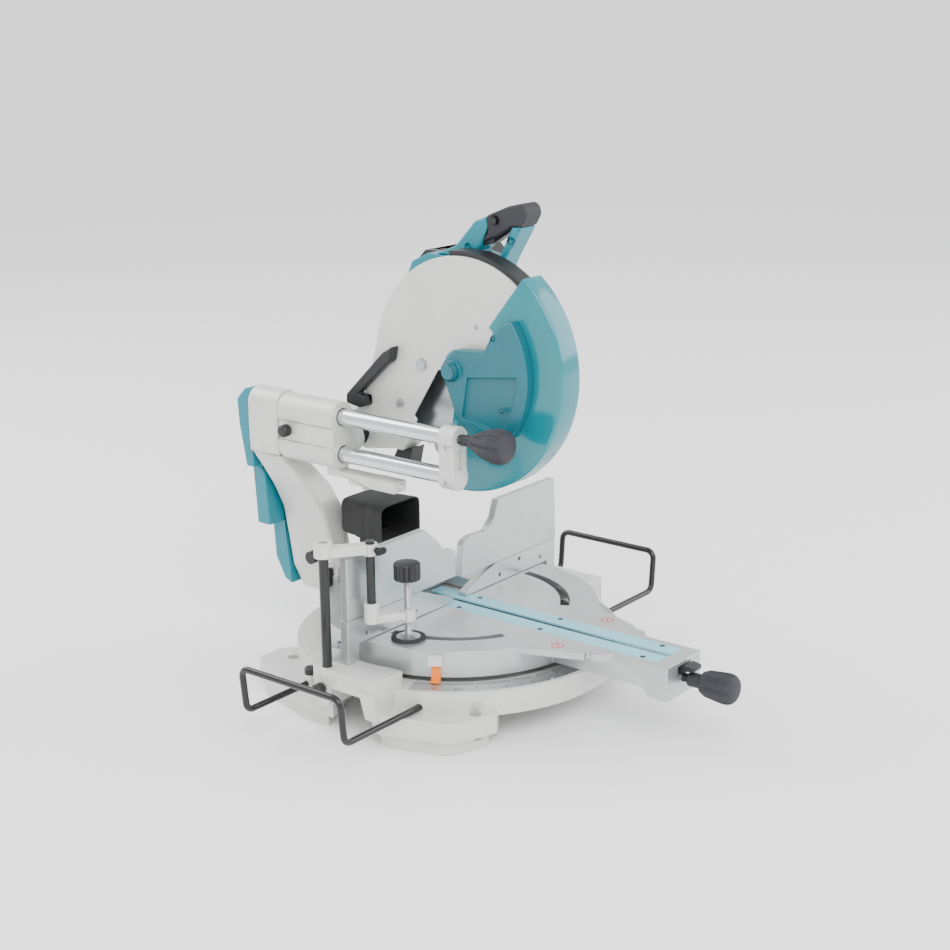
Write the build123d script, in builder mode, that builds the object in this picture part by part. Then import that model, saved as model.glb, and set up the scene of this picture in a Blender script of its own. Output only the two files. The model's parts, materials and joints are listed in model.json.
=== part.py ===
"""Sliding compound mitre saw: one STEP file for each separate piece.

Frame: origin on the floor under the turntable's axis, +X to the operator's right,
+Y towards the back, +Z up. The blade's plane is x = 0 and the fence's face is y = 0.
All sizes are in millimetres.
"""

from build123d import *
import math
import os

# ---- driving dimensions ---------------------------------------------------------------
table_z = 124.6
turntable_radius = 207.0
ring_inner = 213.0
ring_outer = 242.0
ring_top = 78.0
scale_thick = 2.5
blade_radius = 152.5
blade_y = -30.0
blade_z = 485.0
blade_bore = 15.0
chop_y = 158.0
chop_z = 363.5
chop_shaft_radius = 9.0
rail_x = -85.0
rail_upper_z = 401.3
rail_lower_z = 345.1
rail_radius = 12.0
rail_front = -72.0
rail_back = 316.0
bracket_back = -48.0
carriage_front = 146.0
carriage_back = 256.5
case_radius = 159.0
case_left = -25.0
case_right = 13.0
guard_radius = 178.0
guard_left = -28.6
guard_right = 15.2
fence_top_left = 253.6
fence_top_right = 257.0
fence_split = 163.0
fence_thick = 12.0
running_gap = 0.05
slide_gap = 0.4
post_x = -262.0
post_y = 24.0
rod_x = -210.0
rod_y = -15.0
screw_x = -165.0
screw_y = -42.0
holder_out = 374.0
holder_front = -104.0
holder_rear = 76.5
holder_z = 55.0
wire_radius = 4.7
gear_left = 15.7
gear_right = 46.0
motor_y = 74.0
motor_z = 582.0
handle_left = 18.0
handle_right = 56.0
bolt_x = 180.0
bolt_y = 172.0
holder_screw_x = 242.0

os.makedirs("parts", exist_ok=True)


# ---- helpers used inside a sub-part's block -------------------------------------------
def prism(plane, points, amount, mode=Mode.ADD):
    """Extrudes a closed outline, given as points on the plane."""
    with BuildSketch(plane, mode=Mode.PRIVATE) as outline:
        with BuildLine():
            Polyline(*points, close=True)
        make_face()
    extrude(outline.sketch, amount=amount, mode=mode)


def block(x, y, z, mode=Mode.ADD):
    """A box from its low and high limits along each axis."""
    points = [(x[0], y[0]), (x[1], y[0]), (x[1], y[1]), (x[0], y[1])]
    prism(Plane.XY.offset(z[0]), points, z[1] - z[0], mode)


def rod(plane, radius, length, at=(0, 0), mode=Mode.ADD):
    """A cylinder that stands on the plane at a point of it."""
    with BuildSketch(plane, mode=Mode.PRIVATE) as disc:
        with Locations(at):
            Circle(radius)
    extrude(disc.sketch, amount=length, mode=mode)


def ring(plane, outer, inner, length, at=(0, 0), mode=Mode.ADD):
    """A tube that stands on the plane at a point of it."""
    with BuildSketch(plane, mode=Mode.PRIVATE) as annulus:
        with Locations(at):
            Circle(outer)
            Circle(inner, mode=Mode.SUBTRACT)
    extrude(annulus.sketch, amount=length, mode=mode)


def turned(plane, profile, mode=Mode.ADD):
    """A turned piece about the plane's normal: pairs of height and radius."""
    axis = Axis(plane.origin, plane.z_dir)
    side = Plane(origin=plane.origin, x_dir=plane.z_dir, z_dir=plane.x_dir)
    points = [(profile[0][0], 0)] + list(profile) + [(profile[-1][0], 0)]
    with BuildSketch(side, mode=Mode.PRIVATE) as half:
        with BuildLine():
            Polyline(*points, close=True)
        make_face()
    revolve(half.sketch, axis=axis, mode=mode)


def along_x(x, y=0.0, z=0.0):
    """A plane across X: its own axes run along Y and Z."""
    return Plane(origin=(x, y, z), x_dir=(0, 1, 0), z_dir=(1, 0, 0))


def along_y(y, x=0.0, z=0.0):
    """A plane across Y that faces the front: its own axes run along X and Z."""
    return Plane(origin=(x, y, z), x_dir=(1, 0, 0), z_dir=(0, -1, 0))


def polar(radius, degrees, y=blade_y, z=blade_z):
    """A point about the blade's axis: the angle rises from the front, -Y."""
    turn = math.radians(degrees)
    return (y - radius * math.cos(turn), z + radius * math.sin(turn))


def sector(outer, inner, start, end, step=6.0):
    """The outline of a ring's sector about the blade's axis, from start to end degrees."""
    count = max(2, int(abs(end - start) / step))
    turns = [start + (end - start) * i / count for i in range(count + 1)]
    far = [polar(outer, turn) for turn in turns]
    near = [polar(inner, turn) for turn in reversed(turns)]
    return far + near


def cap_screws(plane, places, head=4.0, height=2.5):
    """Screw heads that stand on a plane, each with a hexagon socket."""
    for at in places:
        rod(plane, head, height, at)
        with BuildSketch(plane.offset(height), mode=Mode.PRIVATE) as socket:
            with Locations(at):
                RegularPolygon(head * 0.5, 6)
        extrude(socket.sketch, amount=-height * 0.6, mode=Mode.SUBTRACT)


def finish(piece, name):
    """Labels a finished sub-part and writes its STEP file."""
    piece.part.label = name
    export_step(piece.part, f"parts/{name}.step")


# ---- base: casting, scale, lower fence and their screws -------------------------------
foot_rear = [(-258, 20), (-262, 60), (-226, 196), (-208, 212), (-166, 212), (-150, 196), (-168, 60)]
foot_front = [(-258, 0), (-262, -72), (-232, -160), (-216, -176), (-160, -194), (-132, -176), (-150, -60)]
foot_height = 50.0
pedestal_top = 99.0
pedestal_out = 272.0

with BuildPart() as base_casting:
    ring(Plane.XY.offset(42), ring_outer, ring_inner - 12, ring_top - 42)
    rod(Plane.XY.offset(64), ring_inner, 8)
    rod(Plane.XY.offset(50), 34, 22)
    for side in (-1, 1):
        for outline in (foot_rear, foot_front):
            prism(Plane.XY.offset(20), [(-side * x, y) for x, y in outline], foot_height - 20)
            mid_x = sum(x for x, y in outline) / len(outline)
            mid_y = sum(y for x, y in outline) / len(outline)
            # the pad under each wing that stands on the bench
            pad = [(-side * (mid_x + 0.86 * (x - mid_x)), mid_y + 0.86 * (y - mid_y)) for x, y in outline]
            prism(Plane.XY, pad, 21)
        block(sorted((side * 214, side * pedestal_out)), (-72, 42), (foot_height - 8, pedestal_top))
        block(sorted((side * 232, side * 252)), (holder_rear - 10, holder_rear + 10), (foot_height - 1, 68))
    # the pointer runs round the scale inside this radius
    rod(Plane.XY.offset(ring_top), 220.5, 30, mode=Mode.SUBTRACT)
    for side in (-1, 1):
        # the arch under each pedestal, between the feet
        prism(
            along_x(-300 if side < 0 else 300 - 96),
            [(-66, -1), (-44, 72), (10, 72), (24, -1)],
            96,
            mode=Mode.SUBTRACT,
        )
        for y in (holder_front, holder_rear):
            rod(along_x(-300 if side < 0 else 80, y, holder_z), wire_radius + 0.1, 220, mode=Mode.SUBTRACT)
        for y in (-bolt_y, bolt_y):
            rod(Plane.XY, 4.5, foot_height, (side * bolt_x, y), mode=Mode.SUBTRACT)
            rod(Plane.XY.offset(14), 8.5, foot_height, (side * bolt_x, y), mode=Mode.SUBTRACT)
        rod(Plane.XY.offset(holder_z), 3.05, 20, (side * holder_screw_x, holder_rear), mode=Mode.SUBTRACT)
    for side in (-1, 1):
        # lifting grooves in the outer wall of each pedestal
        for y in (-70, -60, -50, 4, 14, 24):
            block(
                sorted((side * pedestal_out, side * (pedestal_out - 2))),
                (y, y + 5), (80, 84), mode=Mode.SUBTRACT,
            )
        rod(Plane.XY.offset(pedestal_top - 45), 7.05, 60, (side * 262, post_y), mode=Mode.SUBTRACT)
    rod(Plane.XY.offset(49), 10.05, 24, mode=Mode.SUBTRACT)
    rod(along_x(-pedestal_out, 24, 70), 3.0, 6, mode=Mode.SUBTRACT)
    # a shallow seat for the screws of the scale
    for turn in (-52, -18, 18, 52):
        at = (234.5 * math.sin(math.radians(turn)), -234.5 * math.cos(math.radians(turn)))
        rod(Plane.XY.offset(ring_top - 8), 2.0, 8, at, mode=Mode.SUBTRACT)
finish(base_casting, "base_casting")

detents = (-60, -45, -31.6, -22.5, -15, 0, 15, 22.5, 31.6, 45, 60)
with BuildPart() as mitre_scale:
    with BuildSketch(Plane.XY.offset(ring_top)):
        Circle(ring_outer - 1)
        Circle(ring_inner + 1, mode=Mode.SUBTRACT)
        with BuildLine():
            Polyline((0, 0), (-420, -170), (-420, 420), (420, 420), (420, -170), close=True)
        make_face(mode=Mode.SUBTRACT)
    extrude(amount=scale_thick)
    for turn in detents:
        lean = math.radians(turn)
        notch = ((ring_inner + 3) * math.sin(lean), -(ring_inner + 3) * math.cos(lean), ring_top)
        with Locations(Location(notch, (0, 0, turn))):
            Box(5, 12, 20, mode=Mode.SUBTRACT)
    for turn in (-52, -18, 18, 52):
        at = (234.5 * math.sin(math.radians(turn)), -234.5 * math.cos(math.radians(turn)))
        rod(Plane.XY.offset(ring_top), 2.0, scale_thick, at, mode=Mode.SUBTRACT)
finish(mitre_scale, "mitre_scale")

with BuildPart() as base_screws:
    for turn in (-52, -18, 18, 52):
        at = (234.5 * math.sin(math.radians(turn)), -234.5 * math.cos(math.radians(turn)))
        rod(Plane.XY.offset(ring_top - 8), 1.98, 8 + scale_thick, at)
        cap_screws(Plane.XY.offset(ring_top + scale_thick), [at], 4.0, 1.6)
    for side in (-1, 1):
        rod(Plane.XY.offset(pedestal_top), 3.0, 19, (side * 232, 27))
        cap_screws(Plane.XY.offset(118), [(side * 232, 27)], 6.0, 6.0)
finish(base_screws, "base_screws")

fence_bottom = table_z + 0.6
with BuildPart() as lower_fence:
    left_face = [(-244, fence_bottom), (-244, fence_split), (-92, fence_split), (-12, 131), (-12, fence_bottom)]
    right_face = [(244, fence_bottom), (244, 157), (90, 157), (62, 149), (16, 130), (16, fence_bottom)]
    for outline in (left_face, right_face):
        prism(along_y(14), outline, 14)
    # the yoke that joins both halves behind the blade
    block((-60, 60), (62, 76), (fence_bottom, 142))
    for side in (-1, 1):
        block(sorted((side * 42, side * 60)), (13, 76), (fence_bottom, 142))
        block(sorted((side * 222, side * 244)), (0, 14), (pedestal_top, fence_bottom + 5))
        block(sorted((side * 222, side * 244)), (13, 40), (pedestal_top, 118))
        rod(Plane.XY.offset(pedestal_top), 3.05, 20, (side * 232, 27), mode=Mode.SUBTRACT)
        rod(along_y(14, side * 150, 148), 3.05, 14, mode=Mode.SUBTRACT)
        for x in (100, 205):
            # slotted auxiliary-board holes through the face
            rod(along_y(14, side * x, 136), 3.0, 14, mode=Mode.SUBTRACT)
finish(lower_fence, "lower_fence")

with BuildPart() as pivot_bolt:
    rod(Plane.XY.offset(44), 9.95, 51)
    rod(Plane.XY.offset(44), 16, 6)
finish(pivot_bolt, "pivot_bolt")

with BuildPart() as base_thumb_screws:
    rod(along_x(-pedestal_out - 1, 24, 70), 2.9, 3.9)
    turned(
        Plane(origin=(-pedestal_out - 1, 24, 70), x_dir=(0, 1, 0), z_dir=(-1, 0, 0)),
        [(0, 7), (3, 9), (13, 9), (15, 7)],
    )
    for side in (-1, 1):
        rod(Plane.XY.offset(60.2), 3.0, 8, (side * holder_screw_x, holder_rear))
        knob_face = Plane(origin=(side * holder_screw_x, holder_rear, 68.1), x_dir=(1, 0, 0), z_dir=(0, 0, 1))
        turned(knob_face, [(0, 9), (8, 9), (10, 7)])
finish(base_thumb_screws, "base_thumb_screws")

# ---- wire work holders ------------------------------------------------------------------
def holder(side, name):
    """A bent wire loop with both legs in the base."""
    lean = 6.0
    top = table_z - wire_radius
    route = [
        (side * 150, holder_front, holder_z),
        (side * (holder_out - lean), holder_front, holder_z),
        (side * holder_out, holder_front, top),
        (side * holder_out, holder_rear, top),
        (side * (holder_out - lean), holder_rear, holder_z),
        (side * 150, holder_rear, holder_z),
    ]
    with BuildPart() as loop:
        with BuildLine() as path:
            FilletPolyline(*route, radius=13)
        with BuildSketch(Plane(origin=route[0], z_dir=(side, 0, 0))):
            Circle(wire_radius)
        sweep(path=path.line)
    finish(loop, name)


holder(-1, "work_holder_left")
holder(1, "work_holder_right")

# ---- sliding upper fences -----------------------------------------------------------------
left_top = [
    (-242.6, fence_split + slide_gap), (-242.6, fence_top_left), (-76, fence_top_left), (-51.4, 233),
    (-29.5, 209), (-14, 207.6), (-7, 205), (-7, fence_split + slide_gap),
]
right_top = [
    (246, 157 + slide_gap), (242, fence_top_right), (97, fence_top_right), (95, 252), (87.3, 231),
    (69.4, 214.5), (29.4, 215.8), (16, 212), (11, 206), (7, 157 + slide_gap),
]


def upper_fence(side, outline, low, name):
    """A fence plate with a guide behind the lower fence, slotted for its clamp."""
    with BuildPart() as plate:
        prism(along_y(fence_thick), outline, fence_thick)
        block(sorted((side * 95, side * 190)), (fence_thick - 0.5, 21), (low + slide_gap, 185))
        block(sorted((side * 95, side * 190)), (14.4, 21), (138, low + slide_gap + 1))
        block(sorted((side * 99, side * 155)), (14, 22), (144.6, 151.4), mode=Mode.SUBTRACT)
    finish(plate, name)


upper_fence(-1, left_top, fence_split, "upper_fence_left")
upper_fence(1, right_top, 157, "upper_fence_right")


def fence_clamp(side, name):
    """A clamp knob on a stud in the lower fence."""
    with BuildPart() as knob:
        rod(along_y(21.4, side * 150, 148), 3.0, 20)
        turned(
            Plane(origin=(side * 150, 21.4, 148), x_dir=(1, 0, 0), z_dir=(0, 1, 0)),
            [(0, 9), (4, 10), (12, 10), (14, 7)],
        )
    finish(knob, name)


fence_clamp(-1, "fence_clamp_left")
fence_clamp(1, "fence_clamp_right")

# ---- vise -----------------------------------------------------------------------------------
with BuildPart() as vise_post:
    rod(Plane.XY.offset(pedestal_top - 44), 7.0, 220, (post_x, post_y))
finish(vise_post, "vise_post")


def bar_between(a, b, width, z, mode=Mode.ADD):
    """A flat bar with round ends from a to b."""
    length = math.hypot(b[0] - a[0], b[1] - a[1])
    turn = math.degrees(math.atan2(b[1] - a[1], b[0] - a[0]))
    middle = Location(((a[0] + b[0]) / 2, (a[1] + b[1]) / 2, 0), (0, 0, turn))
    with BuildSketch(Plane.XY.offset(z[0]), mode=Mode.PRIVATE) as outline:
        with Locations(middle):
            SlotCenterToCenter(length, width)
    extrude(outline.sketch, amount=z[1] - z[0], mode=mode)


with BuildPart() as vise_upper_arm:
    bar_between((post_x, post_y), (rod_x, rod_y), 18, (258, 272))
    rod(Plane.XY.offset(258), 13, 22, (post_x, post_y))
    rod(Plane.XY.offset(255.5), 11, 16.5, (rod_x, rod_y))
    rod(Plane.XY.offset(250), 7.05, 40, (post_x, post_y), mode=Mode.SUBTRACT)
    rod(Plane.XY.offset(250), 6.3, 40, (rod_x, rod_y), mode=Mode.SUBTRACT)
finish(vise_upper_arm, "vise_upper_arm")

with BuildPart() as vise_rod:
    rod(Plane.XY.offset(156), 6.25, 120, (rod_x, rod_y))
finish(vise_rod, "vise_rod")

with BuildPart() as vise_lower_arm:
    bar_between((rod_x, rod_y), (screw_x, screw_y), 18, (156, 168))
    rod(Plane.XY.offset(156), 11, 30, (rod_x, rod_y))
    rod(Plane.XY.offset(152), 11, 18, (screw_x, screw_y))
    rod(Plane.XY.offset(150), 6.3, 40, (rod_x, rod_y), mode=Mode.SUBTRACT)
    rod(Plane.XY.offset(150), 5.05, 24, (screw_x, screw_y), mode=Mode.SUBTRACT)
finish(vise_lower_arm, "vise_lower_arm")

with BuildPart() as vise_wing_screw:
    wing_face = Plane(origin=(rod_x, rod_y - 11.2, 264), x_dir=(1, 0, 0), z_dir=(0, -1, 0))
    rod(wing_face, 4.5, 7)
    with BuildSketch(wing_face.offset(7)):
        SlotOverall(20, 9)
    extrude(amount=4)
finish(vise_wing_screw, "vise_wing_screw")

with BuildPart() as vise_screw:
    rod(Plane.XY.offset(132.5), 5.0, 80, (screw_x, screw_y))
    rod(Plane.XY.offset(208), 6.5, 5, (screw_x, screw_y))
    with BuildSketch(Plane.XY.offset(212)) as knob_outline:
        with Locations((screw_x, screw_y)):
            Circle(19)
        with Locations(Location((screw_x, screw_y))):
            with PolarLocations(19.6, 14):
                Circle(1.9, mode=Mode.SUBTRACT)
    extrude(amount=26)
    chamfer(vise_screw.faces().sort_by(Axis.Z)[-1].edges(), 1.5)
finish(vise_screw, "vise_screw")

with BuildPart() as vise_pad:
    turned(
        Plane(origin=(screw_x, screw_y, table_z + 0.4), x_dir=(1, 0, 0), z_dir=(0, 0, 1)),
        [(0, 24), (3, 24), (3, 19), (6.5, 9), (7.4, 9)],
    )
finish(vise_pad, "vise_pad")

# ---- turntable ---------------------------------------------------------------------------------
arm_half = 42.0
arm_front = -392.0
board_half = 31.3
board_front = -368.0
board_back = 60.0
board_thick = 3.0
slot_half = 5.2
neck_radius = 39.0
neck_y = (172.0, 205.0)

with BuildPart() as turntable:
    rod(Plane.XY.offset(86), turntable_radius, table_z - 86)
    rod(Plane.XY.offset(86), turntable_radius - 7, table_z - 86 - 9, mode=Mode.SUBTRACT)
    rod(Plane.XY.offset(72.4), 32, 44)
    for turn in range(0, 360, 45):
        with Locations(Location((0, 0, 0), (0, 0, turn + 22.5))):
            with Locations((116, 0, 104)):
                Box(176, 6, 24)
    # the arm, its wings and the rear neck
    block((-arm_half, arm_half), (arm_front, -150), (88, table_z))
    block((-arm_half + 5, arm_half - 5), (arm_front + 6, -206), (80, table_z - 9), mode=Mode.SUBTRACT)
    for side in (-1, 1):
        prism(
            Plane.XY.offset(114),
            [(side * 98, -182), (side * 56, -292), (side * 40, -306), (side * 40, -160), (side * 90, -160)],
            table_z - 114,
        )
        rod(Plane.XY.offset(110), 5.0, 20, (side * 59.8, -274.6), mode=Mode.SUBTRACT)
    prism(
        along_x(-arm_half),
        [(arm_front, 76), (arm_front, 100), (-340, 100), (-362, 76)],
        5,
    )
    prism(
        along_x(arm_half - 5),
        [(arm_front, 76), (arm_front, 100), (-340, 100), (-362, 76)],
        5,
    )
    block((-arm_half, arm_half), (arm_front, arm_front + 5), (76, 100))
    block((-36, 36), (150, neck_y[1]), (90, 112))
    rod(along_y(neck_y[1], 0, table_z), neck_radius, neck_y[1] - neck_y[0])
    # seat of the kerf boards, and the chip trough under the slot
    seat_half = board_half + 0.2
    block(
        (-seat_half, seat_half), (board_front - 0.2, board_back), (table_z - board_thick, 140),
        mode=Mode.SUBTRACT,
    )
    block((-13, 13), (board_front + 24, board_back - 4), (100, 140), mode=Mode.SUBTRACT)
    rod(along_y(neck_y[1] + 8, 0, table_z), 12.3, 57, mode=Mode.SUBTRACT)
    rod(Plane.XY.offset(70), 10.05, 26, mode=Mode.SUBTRACT)
    rod(along_y(arm_front + 10, 0, 99), 6.1, 20, mode=Mode.SUBTRACT)
    block((-16, 16), (arm_front - 1, arm_front + 7), (104, 120), mode=Mode.SUBTRACT)
    for x in (-24.8, 24.8):
        for y in (-341, -168, -20):
            rod(Plane.XY.offset(table_z - 12), 2.0, 12, (x, y), mode=Mode.SUBTRACT)
    for side in (-1, 1):
        # the curved grooves in the top
        turns = [math.radians(-90 + side * turn) for turn in range(28, 89, 4)]
        far = [(165 * math.cos(turn), 165 * math.sin(turn)) for turn in turns]
        near = [(151 * math.cos(turn), 151 * math.sin(turn)) for turn in reversed(turns)]
        prism(Plane.XY.offset(table_z - 12), far + near, 14, mode=Mode.SUBTRACT)
finish(turntable, "turntable")

with BuildPart() as kerf_boards:
    for side in (-1, 1):
        block(
            sorted((side * slot_half, side * board_half)),
            (board_front, board_back - 0.2),
            (table_z - board_thick, table_z),
        )
        for y in (-341, -168, -20):
            rod(Plane.XY.offset(table_z - 4), 2.0, 6, (side * 24.8, y), mode=Mode.SUBTRACT)
            rod(Plane.XY.offset(table_z - 1.6), 4.1, 6, (side * 24.8, y), mode=Mode.SUBTRACT)
finish(kerf_boards, "kerf_boards")

with BuildPart() as kerf_screws:
    for x in (-24.8, 24.8):
        for y in (-341, -168, -20):
            rod(Plane.XY.offset(table_z - 12), 1.95, 10.4, (x, y))
            rod(Plane.XY.offset(table_z - 1.6), 4.0, 1.5, (x, y))
finish(kerf_screws, "kerf_screws")

pointer_turn = math.radians(60)
with BuildPart() as mitre_pointer:
    pointer_plane = Plane(
        origin=(-turntable_radius * math.sin(pointer_turn), -turntable_radius * math.cos(pointer_turn), 0),
        x_dir=(math.cos(pointer_turn), -math.sin(pointer_turn), 0),
        z_dir=(0, 0, 1),
    )
    prism(pointer_plane.offset(82), [(-6.5, -12), (6.5, -12), (6.5, 0), (-6.5, 0)], 1.8)
    prism(pointer_plane.offset(82), [(-6.5, -3), (6.5, -3), (6.5, 0), (-6.5, 0)], 32)
    prism(pointer_plane.offset(106), [(-9.5, -8.5), (9.5, -8.5), (9.5, 0), (-9.5, 0)], 14)
finish(mitre_pointer, "mitre_pointer")

with BuildPart() as mitre_grip:
    turned(
        along_y(arm_front + 8, 0, 99),
        [(0, 6.0), (16, 6.0), (16, 10), (36, 10), (38, 16), (46, 18.5), (72, 21.5), (80, 21.5), (87, 18), (89, 15)],
    )
    rod(along_y(arm_front - 76, 0, 99), 4.5, 10, mode=Mode.SUBTRACT)
    for turn in range(0, 360, 45):
        with Locations(Location((0, arm_front - 52, 99), (0, turn, 0))):
            with Locations((0, 0, 24.5)):
                Cylinder(4, 60, rotation=(90, 0, 0), mode=Mode.SUBTRACT)
finish(mitre_grip, "mitre_grip")

with BuildPart() as mitre_lock_lever:
    prism(
        along_x(-11),
        [(-386.5, 106), (-386.5, 115.5), (-400, 121), (-412, 119), (-412, 113.5), (-402, 113), (-396, 109)],
        22,
    )
    rod(along_x(-13.5, -389, 110.8), 2.5, 27)
finish(mitre_lock_lever, "mitre_lock_lever")

with BuildPart() as bevel_pivot_shaft:
    rod(along_y(262, 0, table_z), 11.95, 106)
    rod(along_y(268.5, 0, table_z), 19, 6.5)
finish(bevel_pivot_shaft, "bevel_pivot_shaft")

# ---- dust hood on the turntable's neck ------------------------------------------------------------
hood_front = 112.0
hood_back = 198.0


def hood_section(y, x, z):
    """A rectangle across Y, as a section for a loft."""
    with BuildSketch(Plane(origin=(0, y, 0), x_dir=(1, 0, 0), z_dir=(0, -1, 0)), mode=Mode.PRIVATE) as section:
        with Locations(((x[0] + x[1]) / 2, (z[0] + z[1]) / 2)):
            Rectangle(x[1] - x[0], z[1] - z[0])
    return section.sketch


with BuildPart() as dust_hood:
    loft([hood_section(hood_front, (-45, 45), (192, 258)), hood_section(hood_back, (-38, 38), (200, 256))])
    loft(
        [hood_section(hood_front - 1, (-42, 42), (195, 255)), hood_section(hood_back - 22, (-36, 36), (203, 253))],
        mode=Mode.SUBTRACT,
    )
    block((-21.7, 21.7), (151.9, 178.1), (190, 206), mode=Mode.SUBTRACT)
finish(dust_hood, "dust_hood")

with BuildPart() as dust_nozzle:
    block((-21.6, 21.6), (152, 178), (163.6, 205.9))
    block((-24, 24), (171.8, 200), (150, 167))
    block((-18, 18), (155, 175), (172, 215), mode=Mode.SUBTRACT)
    rod(along_y(206, 0, table_z), neck_radius, 36, mode=Mode.SUBTRACT)
finish(dust_nozzle, "dust_nozzle")

# ---- bevel arm ---------------------------------------------------------------------------------------
arm_sections = [
    (96, (-36, 6), (207, 292)),
    (135, (-50, -2), (207, 298)),
    (185, (-54, -6), (210, 302)),
    (232, (-60, -10), (216, 305)),
    (270, (-76, -26), (226, 308)),
    (300, (-92, -42), (242, 312)),
    (318, (-102, -54), (257.2, 316)),
    (330, (-108, -60), (257.2, 318)),
]

with BuildPart() as bevel_arm:
    for z, x, y in arm_sections:
        with BuildSketch(Plane.XY.offset(z)):
            with Locations(((x[0] + x[1]) / 2, (y[0] + y[1]) / 2)):
                RectangleRounded(x[1] - x[0], y[1] - y[0], 9)
    loft(ruled=True)
    with BuildSketch(along_y(318, rail_x, 375.2)):
        SlotCenterToCenter(56, 48, rotation=90)
    extrude(amount=318 - 257.2)
    block((-108, -61), (257.2, 318), (329, 345))
    rod(along_y(262, 0, table_z), 40, 55)
    rod(along_y(290, 0, table_z), 12.05, 90, mode=Mode.SUBTRACT)
    rod(along_y(290, 0, table_z), 20, 28, mode=Mode.SUBTRACT)
    for z in (rail_upper_z, rail_lower_z):
        rod(along_y(rail_back, rail_x, z), rail_radius, 70, mode=Mode.SUBTRACT)
    rod(along_y(rail_back + 2, rail_x, rail_upper_z), 6.0, 10, mode=Mode.SUBTRACT)
    rod(along_x(-70, 242, 159), 5.05, 36, mode=Mode.SUBTRACT)
    block((-62, -48), (205, 222), (100, 150), mode=Mode.SUBTRACT)
    rod(along_x(-62, 214, 138), 3.05, 26, mode=Mode.SUBTRACT)
finish(bevel_arm, "bevel_arm")

with BuildPart() as arm_covers:
    # three panels step down and inward behind the arm
    upper_side = [(319, 418), (331, 423), (349, 404), (346, 364), (334, 300), (319, 300)]
    prism(along_x(-102), upper_side, 40)
    middle_side = [(320, 320), (340, 320), (334, 204), (307.5, 204), (312.5, 270), (317, 300)]
    prism(along_x(-84), middle_side, 46)
    lower_side = [(310, 236), (336, 236), (330, 142), (312, 108), (297, 102), (300, 135), (304, 185)]
    prism(along_x(-52), lower_side, 42)
finish(arm_covers, "arm_covers")

with BuildPart() as slide_rails:
    ring(along_y(rail_back, rail_x, rail_upper_z), rail_radius - 0.01, 8, rail_back - rail_front)
    ring(along_y(rail_back, rail_x, rail_lower_z), rail_radius - 0.01, 8, rail_back - rail_front)
finish(slide_rails, "slide_rails")

with BuildPart() as rail_bracket:
    lobe_span = rail_upper_z - rail_lower_z
    with BuildSketch(along_y(bracket_back, rail_x, (rail_upper_z + rail_lower_z) / 2)):
        SlotCenterToCenter(lobe_span, 30, rotation=90)
        with Locations((0, lobe_span / 2), (0, -lobe_span / 2)):
            Circle(18)
    extrude(amount=27)
    for z in (rail_upper_z, rail_lower_z):
        rod(along_y(bracket_back + 1, rail_x, z), rail_radius, 25, mode=Mode.SUBTRACT)
    rod(along_y(-70, rail_x, rail_upper_z), 6.0, 10, mode=Mode.SUBTRACT)
    block((rail_x - 5, rail_x + 5), (-76, -68), (358, 385), mode=Mode.SUBTRACT)
    for z in (rail_upper_z - 12, rail_lower_z - 6):
        rod(along_x(rail_x - 22, -61, z), 2.5, 10, mode=Mode.SUBTRACT)
finish(rail_bracket, "rail_bracket")

with BuildPart() as bevel_lock_knob:
    rod(along_y(rail_back - 2, rail_x, rail_upper_z), 5.0, rail_back + 92)
    turned(
        along_y(-79, rail_x, rail_upper_z),
        [(0, 8), (15, 8), (21, 11.5), (40, 20), (58, 24.5), (72, 24.5), (80, 20)],
    )
    rod(along_y(-150, rail_x, rail_upper_z), 5.5, 12, mode=Mode.SUBTRACT)
    for turn in range(0, 360, 45):
        with Locations(Location((rail_x, -120, rail_upper_z), (0, turn, 0))):
            with Locations((0, 0, 28)):
                Cylinder(5, 80, rotation=(90, 0, 0), mode=Mode.SUBTRACT)
finish(bevel_lock_knob, "bevel_lock_knob")

with BuildPart() as bevel_stop_knob:
    rod(along_x(-66, 242, 159), 5.0, 30)
    rod(along_x(-66, 242, 159), 10, 13)
finish(bevel_stop_knob, "bevel_stop_knob")

with BuildPart() as bevel_release_lever:
    prism(along_x(-61), [(207, 104), (219, 104), (219, 140), (213, 146), (210, 144), (210, 122), (207, 116)], 11)
    rod(along_x(-61, 214, 138), 3.0, 24)
finish(bevel_release_lever, "bevel_release_lever")

# ---- carriage ---------------------------------------------------------------------------------------------
bearing_spans = ((147.0, 180.0), (222.0, 255.0))

with BuildPart() as carriage:
    with BuildSketch(along_y(carriage_back, rail_x, 373.2)):
        SlotCenterToCenter(54, 48, rotation=90)
    extrude(amount=carriage_back - carriage_front)
    # flat between the two tubes, on the outer side
    block((-109.2, -106.6), (carriage_front - 1, carriage_back + 1), (357, 387), mode=Mode.SUBTRACT)
    block((-62, 44), (200, 236), (342, 388))
    rod(along_x(-62, chop_y, chop_z), 22, 14)
    block((-62, -48), (chop_y, 205), (342, 385))
    rod(along_x(28, chop_y, chop_z), 22, 16)
    block((28, 44), (chop_y, 205), (342, 385))
    for z in (rail_upper_z, rail_lower_z):
        rod(along_y(carriage_back + 1, rail_x, z), 13, 112, mode=Mode.SUBTRACT)
        for low, high in bearing_spans:
            rod(along_y(high, rail_x, z), 16, high - low, mode=Mode.SUBTRACT)
    rod(along_x(-66, chop_y, chop_z), chop_shaft_radius, 120, mode=Mode.SUBTRACT)
    rod(along_x(-110, 236, 373), 3.05, 14, mode=Mode.SUBTRACT)
    rod(along_x(30, 218, 352), 4.05, 16, mode=Mode.SUBTRACT)
finish(carriage, "carriage")

with BuildPart() as linear_bearings:
    for z in (rail_upper_z, rail_lower_z):
        for low, high in bearing_spans:
            ring(along_y(high - 0.1, rail_x, z), 15.98, rail_radius + running_gap, high - low - 0.2)
finish(linear_bearings, "linear_bearings")

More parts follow.
